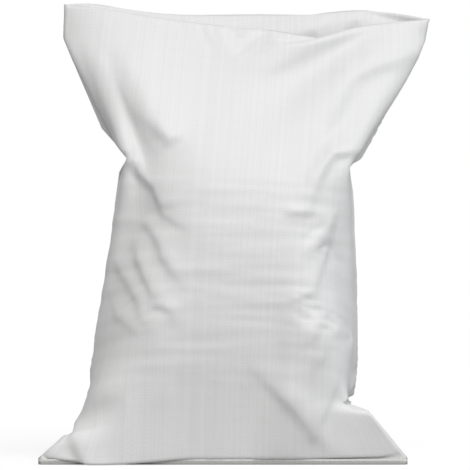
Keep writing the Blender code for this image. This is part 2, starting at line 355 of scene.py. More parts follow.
# The right ear's root in x and its upper end in height, how far before the hem it may come, and
# the width over which this limit begins.
EAR_ROOT, EAR_UPPER, EAR_FRONT, EAR_FADE = 0.125, 0.110, 0.020, 0.03


class Guides:
    """Draws chosen points of one grid towards their places in the photograph."""

    def __init__(self, grid, ramp):
        self.ramp = ramp
        self.half = grid.shape[1] // 2
        along = np.linspace(0.0, SIDE_FREE, grid.shape[2])
        creases = ((0, EAR_LEFT), (self.half, EAR_RIGHT), (0, FLARE_LEFT), (self.half, FLARE_RIGHT))
        self.lines = []
        for column, keys in creases:
            rows = np.where((along >= keys[0, 0] - 1e-6) & (along <= keys[-1, 0] + 1e-6))[0]
            goal = np.stack([np.interp(along[rows], keys[:, 0], keys[:, part]) for part in (1, 2, 3)])
            self.lines.append((column, rows, goal, grid[:, column, rows].copy()))

    def draw(self, grid, share):
        """Move each guided point a part of its way, and set the two mouth corners on theirs."""
        ready = min(1.0, share / self.ramp) if self.ramp else 1.0
        for column, rows, goal, begin in self.lines:
            aim = begin + (goal - begin) * ready
            grid[:, column, rows] += (aim - grid[:, column, rows]) * CREASE_PULL
            if rows[-1] == grid.shape[2] - 1:
                grid[:, column, -1] = aim[:, -1]
        if ready == 1.0:
            self.draw_rim(grid[:, 1:self.half, -1], RIM_FRONT, -MOUTH_FRONT)
            self.draw_rim(grid[:, self.half + 1:, -1], RIM_BACK, MOUTH_BACK)

    def draw_rim(self, edge, rim, away):
        """Draw one panel's edge to the rim's height, and in depth to a half sine of x."""
        bow = np.sin(np.pi * (edge[0] - rim[0, 0]) / (rim[-1, 0] - rim[0, 0]))
        edge[1] += (MOUTH_Y + away * bow - edge[1]) * RIM_PULL
        edge[2] += (np.interp(edge[0], rim[:, 0], rim[:, 1]) - edge[2]) * RIM_PULL

    def contain(self, grid):
        """Keep outline, order and back limit, and hold the right ear back where it bulges."""
        keep_outline(grid, OUTLINE_PULL)
        keep_order(grid)
        np.minimum(grid[1], BACK_LIMIT, out=grid[1])
        front = grid[1, 1:self.half]
        x, height = grid[0, 1:self.half], grid[2, 1:self.half]
        beside = np.clip((x - EAR_ROOT) / EAR_FADE, 0.0, 1.0)
        beside = beside * np.clip((EAR_UPPER - height) / EAR_FADE, 0.0, 1.0)
        front += np.maximum(0.0, HEM_Y - EAR_FRONT - front) * 0.5 * beside


print("mouth corners at", FLARE_LEFT[-1, 1:].tolist(), "and", FLARE_RIGHT[-1, 1:].tolist())

# %% [markdown]
# ## Threads that keep their length
# Blender's cloth solver could shape the sack too, frame by frame into a cache. Tape cloth
# hardly stretches at all, so a plain rule is enough, and it gives the same cloth on every run:
# each thread between two neighbours goes back to its own length, again and again, while the
# form pushes from inside. Diagonals resist shear weakly, and pairs two steps apart resist
# bending. Points are mended in sets that share none, so each set is one sum over arrays.

# %% Threads that keep their length


def keep_length(first, second, length, gain):
    """Move two sets of points along the line between them until they are a length apart."""
    line = second - first
    far = np.sqrt(np.einsum("kij,kij->ij", line, line)) + 1e-9
    line *= 0.5 * gain * (1.0 - length / far)
    first += line
    second -= line


def pairs_around(grid, hop, length, gain):
    """Neighbours round the tube, in sets that share no point, and across the closing place."""
    around = grid.shape[1]
    if hop == 1:
        keep_length(grid[:, 0::2], grid[:, 1::2], length, gain)
        keep_length(grid[:, 1:-1:2], grid[:, 2::2], length, gain)
        keep_length(grid[:, -1:], grid[:, :1], length, gain)
        return
    for start in range(4):
        first, second = grid[:, start:around - 2:4], grid[:, start + 2::4]
        count = min(first.shape[1], second.shape[1])
        keep_length(first[:, :count], second[:, :count], length, gain)
    keep_length(grid[:, -2:-1], grid[:, :1], length, gain)
    keep_length(grid[:, -1:], grid[:, 1:2], length, gain)


def pairs_along(grid, hop, length, gain):
    """Neighbours up a column, in sets that share no point."""
    for start in range(2 * hop):
        first, second = grid[:, :, start:grid.shape[2] - hop:2 * hop], grid[:, :, start + hop::2 * hop]
        count = min(first.shape[2], second.shape[2])
        own = length[:, start:length.shape[1] - hop + 1:2 * hop][:, :count]
        keep_length(first[:, :, :count], second[:, :, :count], own, gain)


def pairs_across(grid, length, gain):
    """Both diagonals of every square."""
    for low, high in ((slice(0, -1), slice(1, None)), (slice(1, None), slice(0, -1))):
        here, there = grid[:, :, low], grid[:, :, high]
        keep_length(here[:, 0::2], there[:, 1::2], length[0::2], gain)
        keep_length(here[:, 1:-1:2], there[:, 2::2], length[1:-1:2], gain)
        keep_length(here[:, -1:], there[:, :1], length[-1:], gain)


print("a thread's step round the coarse net is", round(2.0 * LAY_FLAT / COARSE_AROUND, 4), "m")

# %% [markdown]
# ## How the cloth settles
# Each step carries the cloth's own motion on, lets it fall a little and mends all lengths many
# times over, while the form grows from flat to full. Then points inside the form are pushed
# out, and the hem is put back where it was: it is stitched, and stands still.

# %% How the cloth settles
FLOOR = 0.0006
MENDS = 14
# Shares of a length's error that one mend takes back: threads are overshot, which is quicker.
THREAD_GAIN, SHEAR_GAIN = 1.2, 0.35
# Shares of the steps: the form is full after the first, and the cloth is contained from the
# second on, or all the time where the guides have no ramp.
FULL_AFTER, CONTAINED_FROM = 0.7, 0.5


def settle(grid, steps, damping, stiffness, fill_from=1.0, ramp=0.0, weight=0.0,
           spare=0.0, hold=0.0, rough=0.0):
    """Let the cloth settle round the form in a number of steps.

    damping is the share of its motion that it keeps and stiffness its gain against bending.
    fill_from is the form's depth at the start, ramp the share of the steps in which the guides
    reach their places, and weight its fall in a step. spare is the slack's gain. hold is the
    share by which points are drawn back to their first height, and rough the size of the first
    nudge, both where the cloth slumps.
    """
    around, rows = grid.shape[1:]
    across = np.float32(2.0 * LAY_FLAT / around)
    up = (column_lengths(around) / (rows - 1)).astype(np.float32)[:, None]
    up = up * (1.0 + slack(around, rows - 1, spare))
    slant = np.sqrt(across**2 + (0.5 * (up + np.roll(up, -1, 0))) ** 2)
    guides = Guides(grid, ramp)
    borne = slump(np.linspace(0.0, 1.0, rows, dtype=np.float32))
    hem, begin = grid[:, :, 0].copy(), grid[2].copy()
    grid += nudge.normal(0.0, rough, grid.shape).astype(np.float32) * borne
    before = grid.copy()
    for step in range(steps):
        share = step / max(1, steps - 1)
        grown = fill_from + (1.0 - fill_from) * min(1.0, share / FULL_AFTER)
        motion = (grid - before) * damping
        before = grid.copy()
        grid += motion
        grid[2] -= weight
        for _ in range(MENDS):
            pairs_around(grid, 1, across, THREAD_GAIN)
            pairs_along(grid, 1, up, THREAD_GAIN)
            pairs_across(grid, slant, SHEAR_GAIN)
            pairs_around(grid, 2, 2.0 * across, stiffness)
            pairs_along(grid, 2, 2.0 * up, stiffness)
            grid[:, :, 0] = hem
            guides.draw(grid, share)
        grid[2] += (begin - grid[2]) * hold * borne
        push_out(grid, grown)
        np.maximum(grid[2], FLOOR, out=grid[2])
        if ramp == 0.0 or share > CONTAINED_FROM:
            guides.contain(grid)
        grid[:, :, 0] = hem
    return grid


def refine(grid):
    """Twice as many points each way: the new ones are (9 (b + c) - a - d) / 16 of their neighbours.

    Beside a crease and at both ends of a column they are the mean of the two nearest.
    """
    _, around, rows = grid.shape
    half = around // 2
    wide = np.empty((3, 2 * around, rows), grid.dtype)
    wide[:, 0::2] = grid
    following = np.roll(grid, -1, 1)
    wide[:, 1::2] = (9.0 * (grid + following) - (np.roll(grid, 1, 1) + np.roll(grid, -2, 1))) / 16.0
    for crease in (0, around - 1, half - 1, half):
        wide[:, 2 * crease + 1] = (grid[:, crease] + grid[:, (crease + 1) % around]) / 2.0
    tall = np.empty((3, 2 * around, 2 * rows - 1), grid.dtype)
    tall[:, :, 0::2] = wide
    middle = (wide[:, :, :-1] + wide[:, :, 1:]) / 2.0
    nearer = 9.0 * (wide[:, :, 1:-2] + wide[:, :, 2:-1])
    middle[:, :, 1:-1] = (nearer - (wide[:, :, :-3] + wide[:, :, 3:])) / 16.0
    tall[:, :, 1::2] = middle
    return tall


print("mends a step:", MENDS)

# %% [markdown]
# ## Folds that the photograph shows
# A cloth that is only let go crumples anywhere. The folds that catch the eye are read off the
# photograph as lines: the overlap at the neck, the pocket in the flare, the steep creases on
# the left, the ledges on the right and the pointed facet over the right ear. Each one rises
# slowly on its upper side and drops steeply on its lower side, as a pushed fold does. They are
# pressed into the settled cloth, because a fold made earlier is pulled out again.

# %% Folds that the photograph shows
PIXEL, MIDDLE_PIXEL, FLOOR_PIXEL = 0.0015, 235.5, 464.0
# Each fold: the widths in pixels of its upper and its lower side, then its points from left to
# right as (across, down, height in mm), in pixels of the photograph.
FOLDS = (
    (22, 4, (120, 150, 4), (127, 158, 9), (142, 175, 11), (158, 190, 11), (164, 206, 9), (166, 214, 5),
     (184, 226, 2)),
    (12, 5, (146, 218, 0), (150, 226, 4), (161, 241, 5), (166, 257, 5), (175, 271, 4), (184, 281, 1)),
    (12, 5, (139, 246, 2), (142, 262, 6), (149, 278, 6), (156, 293, 5), (158, 301, 1)),
    (12, 5, (117, 250, 1), (121, 269, 4), (131, 284, 4), (142, 302, 4), (144, 315, 3), (151, 326, 1)),
    (10, 4, (154, 303, 1), (165, 306, 4), (173, 310, 4), (176, 319, 1)),
    (12, 5, (114, 298, 1), (121, 317, 3), (135, 328, 2)),
    (18, 4, (308, 211, 2), (313, 196, 6), (318, 180, 8), (326, 166, 9), (333, 157, 9), (350, 154, 6)),
    (8, 4, (283, 214, 0), (292, 213, 4), (305, 213, 4), (319, 215, 1)),
    (10, 4, (311, 255, 2), (320, 238, 5), (328, 222, 5), (333, 211, 1)),
    (15, 4, (285, 300, 1), (299, 297, 4), (312, 291, 5), (318, 270, 4), (325, 248, 4), (331, 226, 4),
     (335, 206, 1)),
    (10, 4, (304, 343, 1), (316, 333, 3), (321, 322, 3), (322, 311, 1)),
    (10, 4, (312, 369, 1), (320, 358, 3), (325, 349, 2), (327, 339, 1)),
    (16, 5, (314, 429, 3), (322, 412, 5), (329, 394, 5), (334, 380, 3), (337, 364, 1)),
    (18, 7, (256, 366, 1), (272, 382, 4), (290, 400, 6), (305, 418, 7), (314, 429, 4)),
    (36, 24, (60, 26, 0), (80, 44, 5), (100, 62, 10), (120, 82, 14), (140, 106, 15), (158, 128, 11),
     (170, 142, 5), (176, 148, 0)),
    (14, 5, (150, 120, 2), (163, 134, 6), (171, 143, 6), (176, 149, 1)),
    (24, 9, (326, 130, 1), (334, 110, 3), (342, 94, 4), (352, 79, 5), (377, 68, 6), (397, 62, 6),
     (415, 54, 5), (424, 47, 3), (428, 41, 0)),
    (10, 6, (314, 429, 2), (326, 440, 2), (345, 448, 1)),
    (16, 4, (72, 424, 1), (76, 437, 6), (86, 449, 9), (98, 459, 9), (110, 467, 7)),
    (8, 4, (48, 447, 1), (60, 451, 4), (78, 456, 5), (98, 463, 3)),
)
RIPPLE = 0.0004
RIPPLE_SPREADS = (7.0, 1.1)
# Below this share of its length a column isn't pressed in full: the stitches hold it.
HELD_BY_STITCHES = 0.015


def ripples(around, rows):
    """Seeded noise drawn out sideways: the fine creases across the front, with a spread of 1."""
    noise = nudge.normal(0.0, 1.0, (around, rows))
    for axis, spread in enumerate(RIPPLE_SPREADS):
        reach = int(3 * spread) + 1
        bell = np.exp(-0.5 * (np.arange(-reach, reach + 1) / spread) ** 2)
        noise = np.apply_along_axis(np.convolve, axis, noise, bell / bell.sum(), "same")
    return noise / noise.std()


def press_folds(grid, share):
    """Raise the front panel along each fold, and add the fine ripples where it has slumped.

    With d the distance from a piece of the fold's line, the rise is the height there times
    exp(-(d / width)^2). The width goes from the fold's upper to its lower one with the sine of
    the side it is on, and the pieces of one fold are weighted by 1 / (d + one pixel)^4.
    """
    half = grid.shape[1] // 2
    panel = grid[:, :half + 1]
    round_it, up_it = np.gradient(panel, axis=1), np.gradient(panel, axis=2)
    normal = np.cross(round_it, up_it, axis=0)
    normal /= np.sqrt((normal**2).sum(0)) + 1e-12
    x, z = panel[0], panel[2]
    total = np.zeros_like(x)
    for upper, lower, *points in FOLDS:
        line = np.array(points, float)
        line_x, line_z = (line[:, 0] - MIDDLE_PIXEL) * PIXEL, (FLOOR_PIXEL - line[:, 1]) * PIXEL
        rise, weights = np.zeros_like(x), np.zeros_like(x)
        for k in range(len(line) - 1):
            step_x, step_z = line_x[k + 1] - line_x[k], line_z[k + 1] - line_z[k]
            along = ((x - line_x[k]) * step_x + (z - line_z[k]) * step_z) / (step_x**2 + step_z**2)
            along = np.clip(along, 0.0, 1.0)
            off_x, off_z = x - line_x[k] - along * step_x, z - line_z[k] - along * step_z
            away = np.hypot(off_x, off_z)
            side = (step_x * off_z - step_z * off_x) / (np.hypot(step_x, step_z) * away + 1e-9)
            width = (lower + (upper - lower) * (0.5 + 0.75 * side - 0.25 * side**3)) * PIXEL
            height = (line[k, 2] + along * (line[k + 1, 2] - line[k, 2])) * 0.001
            weight = (away + PIXEL) ** -4.0
            rise += weight * height * np.exp(-((away / width) ** 2))
            weights += weight
        total += rise / weights
    fade = np.minimum(1.0, np.arange(grid.shape[2]) / (HELD_BY_STITCHES * grid.shape[2]))
    total += RIPPLE * ripples(*x.shape) * slump(np.linspace(0.0, 1.0, x.shape[1]))
    panel += normal * (total * fade * share)
    return grid


print(len(FOLDS), "folds, the highest", max(point[2] for fold in FOLDS for point in fold[2:]), "mm")

# %% [markdown]
# ## Corners and ears
# Two parts of the front are smoother in the photograph than let-go cloth would be. Over the
# lower corners the filling stretches it, and the ears beside the foot are two flat layers. So
# the corners are averaged until their crumples are gone, and each ear is ironed row by row.

# %% Corners and ears
# The places smoothed: both lower corners and, below them, the foot beside both ears, each as
# a share of the panel's width and a distance up it.
SMOOTHED = ((0.16, 0.155), (0.84, 0.150), (0.20, 0.040), (0.80, 0.035))
SMOOTH_WIDE, SMOOTH_TALL, SMOOTH_PASSES = 0.13, 0.055, 120
# The columns ironed beside each crease, how many further in the row's direction is read, and
# where up the crease the ironing starts to fade; then each side, and where there it ends.
IRON_COLUMNS, IRON_LOOK_AHEAD, IRON_FULL = 26, 5, 0.085
IRONED = (("left", 0.135), ("right", 0.120))


def smooth_over(grid, at, up):
    """Move the points round one place to the mean of their neighbours, many times over.

    The share of the move is exp(-(d / wide)^4 - (h / tall)^4), with d the distance round the
    panel as a share of it and h the distance up it in metres. The creases stay as they are.
    """
    place = np.arange(grid.shape[1]) / (grid.shape[1] // 2)
    along = np.linspace(0.0, SIDE_FREE, grid.shape[2])[1:-1]
    round_share = np.exp(-(((place - at) / SMOOTH_WIDE) ** 4))[:, None]
    share = round_share * np.exp(-(((along - up) / SMOOTH_TALL) ** 4))[None, :]
    share[[0, grid.shape[1] // 2]] = 0.0
    for _ in range(SMOOTH_PASSES):
        mean = (np.roll(grid, 1, 1) + np.roll(grid, -1, 1))[:, :, 1:-1] + grid[:, :, :-2] + grid[:, :, 2:]
        grid[:, :, 1:-1] += (mean / 4.0 - grid[:, :, 1:-1]) * share


def iron(grid, side, none):
    """Smooth the front panel beside a crease, row by row.

    A is the row's point on the crease and B the last ironed one. With g from 0 at B to 1 at A
    the row becomes B + T g + (A - B - T) g^2, where T is the mean of A - B and of a line as
    long in the row's direction at B. It fades out up the crease, and ends at none.
    """
    crease, inward = (0, 1) if side == "left" else (grid.shape[1] // 2, -1)
    along = np.linspace(0.0, SIDE_FREE, grid.shape[2])
    share = 1.0 - np.clip((along - IRON_FULL) / (none - IRON_FULL), 0.0, 1.0)
    columns = crease + inward * np.arange(IRON_COLUMNS + 1)
    a, b = grid[:, crease], grid[:, columns[-1]]
    ahead = b - grid[:, columns[-1] + IRON_LOOK_AHEAD * inward]
    ahead *= 0.5 * np.linalg.norm(a - b, axis=0) / (np.linalg.norm(ahead, axis=0) + 1e-9)
    ahead += 0.5 * (a - b)
    g = (1.0 - np.arange(IRON_COLUMNS + 1) / IRON_COLUMNS)[:, None]
    smooth_row = b[:, None] + ahead[:, None] * g + (a - b - ahead)[:, None] * g**2
    grid[:, columns] += (smooth_row - grid[:, columns]) * (share**2 * (3.0 - 2.0 * share))


print(len(SMOOTHED), "places smoothed,", len(IRONED), "ears ironed")

# %% [markdown]
# ## The foot over the hem
# In front the panel comes forward at its foot, sags over the stitched line and hides its upper
# part, most on the left, where it hangs down like a lip. So the panel's lowest rows are moved
# forward and down, by amounts read along the hem.

# %% The foot over the hem
# Across in pixels of the photograph, further drop and reach forward in mm.
OVERHANG = np.array([
    (38, 0, 0), (45, 0, 2), (60, 0, 3), (75, 3, 5), (90, 8, 9), (100, 9.4, 11), (125, 9.4, 11),
    (150, 6.5, 8), (170, 3.5, 6), (190, 0.5, 4), (300, 0, 3), (380, 0, 2), (404, 0, 0),
])
# Up the cloth: where the roll is fullest, and how far above it the drop and the reach fade.
ROLL_HEIGHT, DROP_FADE, REACH_FADE = 0.012, 0.030, 0.100
# The drop along the whole hem, which is full where the foot reaches this far forward.
DROP_EVERYWHERE, FULL_REACH = 0.0105, 0.003


def hang_over(grid):
    """Bring the panel's foot forward and down over the hem, most at the roll's height.

    Below the roll, with s from 0 at the stitches to 1, the reach has the share s and the drop
    3 s^2 - 2 s^3. Above it each has exp(-(a / fade)^2), with a the distance above the roll.
    """
    half = grid.shape[1] // 2
    panel = grid[:, 1:half]
    pixels = panel[0] / PIXEL + MIDDLE_PIXEL
    drop, forward = (np.interp(pixels, OVERHANG[:, 0], column) * 0.001 for column in OVERHANG.T[1:])
    above = np.linspace(0.0, SIDE_FREE, grid.shape[2])[None, :] - ROLL_HEIGHT
    lower = np.clip((above + ROLL_HEIGHT) / ROLL_HEIGHT, 0.0, 1.0)
    share = np.where(above < 0.0, lower**2 * (3.0 - 2.0 * lower), np.exp(-((above / DROP_FADE) ** 2)))
    ends = np.clip(forward / FULL_REACH, 0.0, 1.0)
    panel[2] -= (DROP_EVERYWHERE * ends + drop) * share
    panel[1] -= forward * np.where(above < 0.0, lower, np.exp(-((above / REACH_FADE) ** 2)))
    np.maximum(grid[2], FLOOR, out=grid[2])


print("the foot reaches", OVERHANG[:, 2].max(), "mm forward at most")

# %% [markdown]
# ## Filling the sack
# A coarse net finds the large folds quickly, and two finer ones add the small creases. Before
# each finer one the slumped part is nudged at random by about half a millimetre, because a
# perfectly smooth cloth wouldn't know which way to crumple. The numbers are seeded, so the
# folds are the same on every run. Then the corners, the ears, the folds of the photograph and
# the foot are shaped, and what they push past the outline is brought back to it.

# %% Filling the sack
PRESS = 0.9
nudge = np.random.default_rng(7)
cloth = flat_tube(COARSE_AROUND, COARSE_ALONG)
cloth = settle(cloth, 300, damping=0.90, stiffness=0.15, fill_from=0.02, ramp=0.7, weight=3e-5)
cloth = settle(refine(cloth), 100, damping=0.85, stiffness=0.05, spare=0.010, hold=0.3, rough=0.0008)
cloth = settle(refine(cloth), 80, damping=0.80, stiffness=0.03, spare=0.014, hold=0.3, rough=0.0004)
for at, up in SMOOTHED:
    smooth_over(cloth, at, up)
for side, none in IRONED:
    iron(cloth, side, none)
keep_order(cloth)
cloth = press_folds(cloth, PRESS)
hang_over(cloth)
keep_outline(cloth, 1.0)
around, rows = cloth.shape[1:]
stretch = np.linalg.norm(np.roll(cloth, -1, 1) - cloth, axis=0) / (2.0 * LAY_FLAT / around)
print("grid", around, "x", rows, "mean stretch", round(float(stretch.mean()), 4))

# %% [markdown]
# ## The folded hem
# The end of the tube is turned up once in front and stitched through. So below the stitched
# line both layers go down to the floor, turn, and come up again before the panel. These rows
# are added to the same grid: the hem is the same cloth, not a strip sewn on.

# %% The folded hem
# From the stitched line on, as (y from the hem, height), for the front and the back layer.
HEM_PROFILE_FRONT = (
    (-0.0012, 0.0088), (-0.0010, 0.0070), (-0.0008, 0.0030), (-0.0010, 0.0016),
    (-0.0015, 0.0012), (-0.0020, 0.0020), (-0.0034, 0.0050), (-0.0048, 0.0082),
)
HEM_PROFILE_BACK = (
    (0.0012, 0.0088), (0.0008, 0.0060), (0.0007, 0.0020), (0.0000, 0.0008),
    (-0.0015, 0.0006), (-0.0025, 0.0014), (-0.0041, 0.0048), (-0.0056, 0.0086),
)


def add_hem(grid):
    """Put eight rows under each column: x from the stitched line, y and height from a profile."""
    half = grid.shape[1] // 2
    step = np.arange(grid.shape[1])
    front = ((step > 0) & (step < half))[:, None]
    back = (step > half)[:, None]
    profile_front, profile_back = np.array(HEM_PROFILE_FRONT)[::-1], np.array(HEM_PROFILE_BACK)[::-1]
    middle = (profile_front + profile_back) / 2.0
    place = np.where(front[..., None], profile_front, np.where(back[..., None], profile_back, middle))
    band = np.empty((3, grid.shape[1], len(middle)), grid.dtype)
    band[0] = grid[0, :, :1]
    band[1] = HEM_Y + place[..., 0]
    band[2] = place[..., 1]
    return np.concatenate([band, grid], axis=2)


sack_grid = add_hem(cloth)
print("rows with the hem", sack_grid.shape[2])

# %% [markdown]
# ## Grid to mesh
# Each square of the grid becomes a face that looks outwards, and each corner remembers its
# place on the flat cloth, in metres, in a UV map. The weave follows that map, so it bends
# with every fold. A solidify modifier then gives the faces the cloth's thickness.

# %% Grid to mesh
CLOTH_THICKNESS = 0.0004
# On the flat cloth, in metres up from the stitched line: the mouth, the cut end inside the
# folded hem and the hem's first row.
FLAT_MOUTH, FLAT_END, FLAT_HEM = 0.780, -0.020, -0.001


def grid_to_mesh(name, grid, flat_along, flat_width):
    """A closed tube of faces from a (3, around, rows) grid, with the flat cloth as its UV map."""
    _, around, rows = grid.shape
    index = np.arange(around * rows).reshape(around, rows)
    onward = np.roll(index, -1, 0)
    quads = np.stack([index[:, :-1], onward[:, :-1], onward[:, 1:], index[:, 1:]], axis=-1).reshape(-1, 4)
    mesh = bpy.data.meshes.new(name)
    mesh.from_pydata(grid.reshape(3, -1).T.tolist(), [], quads.tolist())
    u = np.arange(around + 1) / around * flat_width
    left = np.meshgrid(u[:-1], flat_along[:-1], indexing="ij")
    right = np.meshgrid(u[1:], flat_along[1:], indexing="ij")
    corner_u = np.stack([left[0], right[0], right[0], left[0]], axis=-1)
    corner_v = np.stack([left[1], left[1], right[1], right[1]], axis=-1)
    layer = mesh.uv_layers.new(name="cloth")
    layer.data.foreach_set("uv", np.stack([corner_u, corner_v], axis=-1).reshape(-1).astype(np.float32))
    mesh.shade_smooth()
    return mesh


flat_hem = np.linspace(FLAT_END, FLAT_HEM, len(HEM_PROFILE_FRONT))
flat_along = np.concatenate([flat_hem, np.linspace(0.0, FLAT_MOUTH, rows)])
sack_mesh = grid_to_mesh("sack", sack_grid, flat_along, 2.0 * LAY_FLAT)
sack = put_in_scene("sack", sack_mesh)
wall = sack.modifiers.new("wall", "SOLIDIFY")
wall.thickness = CLOTH_THICKNESS
wall.offset = 0.0
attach(sack, "root")
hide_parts("sack_body")
print("sack faces", len(sack_mesh.polygons))

# %% [markdown]
# ## Building with nodes
# A finish is a tree of nodes that Blender works out at every point of the surface. Written
# out node by node it is long, so a few short helpers place a node, join two sockets, do one
# sum, blend two values, make a ramp of two colours or raise a bump.

# %% Building with nodes


def add_node(tree, kind, **settings):
    """A node of a kind with its settings."""
    node = tree.nodes.new(kind)
    for name, value in settings.items():
        setattr(node, name, value)
    return node


def link(tree, source, target):
    """Join two sockets, or set the target to a number or a colour."""
    if isinstance(source, (int, float, tuple)):
        target.default_value = source
    else:
        tree.links.new(source, target)


def calculate(tree, operation, *inputs):
    """A Math node on one to three values; returns its result."""
    node = add_node(tree, "ShaderNodeMath", operation=operation)
    for value, socket in zip(inputs, node.inputs):
        link(tree, value, socket)
    return node.outputs[0]


def blend_values(tree, share, first, second):
    """first + share (second - first), as one value."""
    node = add_node(tree, "ShaderNodeMix", data_type="FLOAT")
    for value, socket in zip((share, first, second), (node.inputs[0], node.inputs[2], node.inputs[3])):
        link(tree, value, socket)
    return node.outputs[0]


def two_tones(tree, value, dark, light, low=0.0, high=1.0):
    """A colour that goes from dark, where the value is low, to light, where it is high."""
    ramp = add_node(tree, "ShaderNodeValToRGB")
    for element, position, colour in zip(ramp.color_ramp.elements, (low, high), (dark, light)):
        element.position = position
        element.color = colour
    link(tree, value, ramp.inputs[0])
    return ramp.outputs[0]


def add_bump(tree, height, distance, strength, under=None):
    """A bump on a height from 0 to 1 that stands for a distance in metres, over another bump."""
    bump = add_node(tree, "ShaderNodeBump")
    bump.inputs["Distance"].default_value = distance
    bump.inputs["Strength"].default_value = strength
    link(tree, height, bump.inputs["Height"])
    if under is not None:
        link(tree, under, bump.inputs["Normal"])
    return bump.outputs[0]


def new_material(name):
    """A material made of nodes; returns it with its tree and its main shader."""
    material = bpy.data.materials.new(name)
    material.use_nodes = True
    return material, material.node_tree, material.node_tree.nodes["Principled BSDF"]


def make_group(name, inputs, outputs):
    """An empty node group with float or vector sockets; returns it with its two ends."""
    group = bpy.data.node_groups.new(name, "ShaderNodeTree")
    for label, kind, value in inputs:
        socket = group.interface.new_socket(label, in_out="INPUT", socket_type=kind)
        if value is not None:
            socket.default_value = value
    for label, kind in outputs:
        group.interface.new_socket(label, in_out="OUTPUT", socket_type=kind)
    return group, group.nodes.new("NodeGroupInput"), group.nodes.new("NodeGroupOutput")


print("materials so far:", len(bpy.data.materials))

# %% [markdown]
# ## Tape cloth
# The cloth is a plain weave of flat tapes about 2.5 mm wide. Each tape is a strip of drawn
# film, a little lighter or duller than the next one, so from afar the cloth shows faint
# upright streaks. Close up each crossing is a small pillow. A grid of whole numbers and
# fractions of the flat place gives both, in nodes.

# %% Tape cloth
TAPE = 0.0026
# Two far-apart places in the noise, so that upright and level tapes differ.
UPRIGHT_SEED, LEVEL_SEED = 3.7, 91.3


def tape_weave():
    """Height and tone of a plain tape weave, from the flat place in metres.

    In each square of the weave the upright or the level tape is on top, in turn. The top
    tape's height is 1 - |2f - 1|^6 across it, times 0.55 + 0.45 sin(pi f) along it, where f is
    the fraction of the way over the square.
    """
    group, start, end = make_group(
        "tape_weave",
        [("Flat", "NodeSocketVector", None), ("Tape", "NodeSocketFloat", TAPE)],
        [("Height", "NodeSocketFloat"), ("Tone", "NodeSocketFloat"), ("Streak", "NodeSocketFloat")],
    )
    parts = add_node(group, "ShaderNodeSeparateXYZ")
    link(group, start.outputs["Flat"], parts.inputs[0])
    upright = calculate(group, "DIVIDE", parts.outputs[0], start.outputs["Tape"])
    level = calculate(group, "DIVIDE", parts.outputs[1], start.outputs["Tape"])
    whole_u, whole_v = calculate(group, "FLOOR", upright), calculate(group, "FLOOR", level)
    part_u, part_v = calculate(group, "FRACT", upright), calculate(group, "FRACT", level)
    turn = calculate(group, "MODULO", calculate(group, "ADD", whole_u, whole_v), 2.0)
    turn = calculate(group, "ABSOLUTE", turn)

    def pillow(over, on):
        side = calculate(group, "ABSOLUTE", calculate(group, "MULTIPLY_ADD", over, 2.0, -1.0))
        dome = calculate(group, "SUBTRACT", 1.0, calculate(group, "POWER", side, 6.0))
        arch = calculate(group, "SINE", calculate(group, "MULTIPLY", on, math.pi))
        return calculate(group, "MULTIPLY", dome, calculate(group, "MULTIPLY_ADD", arch, 0.45, 0.55))

    height = blend_values(group, turn, pillow(part_u, part_v), pillow(part_v, part_u))
    tones = []
    for whole, shift in ((whole_u, UPRIGHT_SEED), (whole_v, LEVEL_SEED)):
        noise = add_node(group, "ShaderNodeTexWhiteNoise", noise_dimensions="1D")
        link(group, calculate(group, "ADD", whole, shift), noise.inputs["W"])
        tones.append(noise.outputs["Value"])
    level_tone = calculate(group, "MULTIPLY_ADD", tones[1], 0.3, 0.35)
    streak = add_node(group, "ShaderNodeTexNoise", noise_dimensions="1D")
    link(group, upright, streak.inputs["W"])
    streak.inputs["Scale"].default_value = 0.55
    streak.inputs["Detail"].default_value = 3.0
    link(group, height, end.inputs["Height"])
    link(group, blend_values(group, turn, tones[0], level_tone), end.inputs["Tone"])
    link(group, streak.outputs[0], end.inputs["Streak"])
    return group


WEAVE = tape_weave()
print("weave nodes", len(WEAVE.nodes))

# %% [markdown]
# ## The sack's finish
# White film with a satin gloss. The colour varies a little from tape to tape, the gloss too,
# and the bump carries the weave and, far weaker, the soft crumple between the larger folds.
# The doubled hem is painted a little darker and warmer: the darkening is painted shade, for the shade that
# the panel's overhanging foot casts over it. On the flat cloth it is the strip below the stitched line,
# where the second coordinate is under 0.

# %% The sack's finish
CLOTH_DARK, CLOTH_LIGHT = (0.775, 0.775, 0.768, 1.0), (0.845, 0.845, 0.840, 1.0)
# Painted shade: the hem strip is darkened for the shade under the panel's overhanging foot, and warmed a
# little.
HEM_PAINTED_SHADE = (0.93, 0.93, 0.905, 1.0)
LEAST_ROUGHNESS, ROUGHNESS_SPREAD = 0.34, 0.16
CRUMPLES_A_METRE = 45.0
CRUMPLE_HEIGHT, WEAVE_HEIGHT = 0.0012, 0.00012


def paint_hem_shade(tree, colour, flat):
    """The colour, times the hem's painted shade where the flat cloth's second coordinate is under 0."""
    parts = add_node(tree, "ShaderNodeSeparateXYZ")
    link(tree, flat, parts.inputs[0])
    painted_shade_mix = add_node(tree, "ShaderNodeMix", data_type="RGBA", blend_type="MULTIPLY")
    link(tree, calculate(tree, "LESS_THAN", parts.outputs[1], 0.0), painted_shade_mix.inputs[0])
    link(tree, colour, painted_shade_mix.inputs[6])
    link(tree, HEM_PAINTED_SHADE, painted_shade_mix.inputs[7])
    return painted_shade_mix.outputs[2]


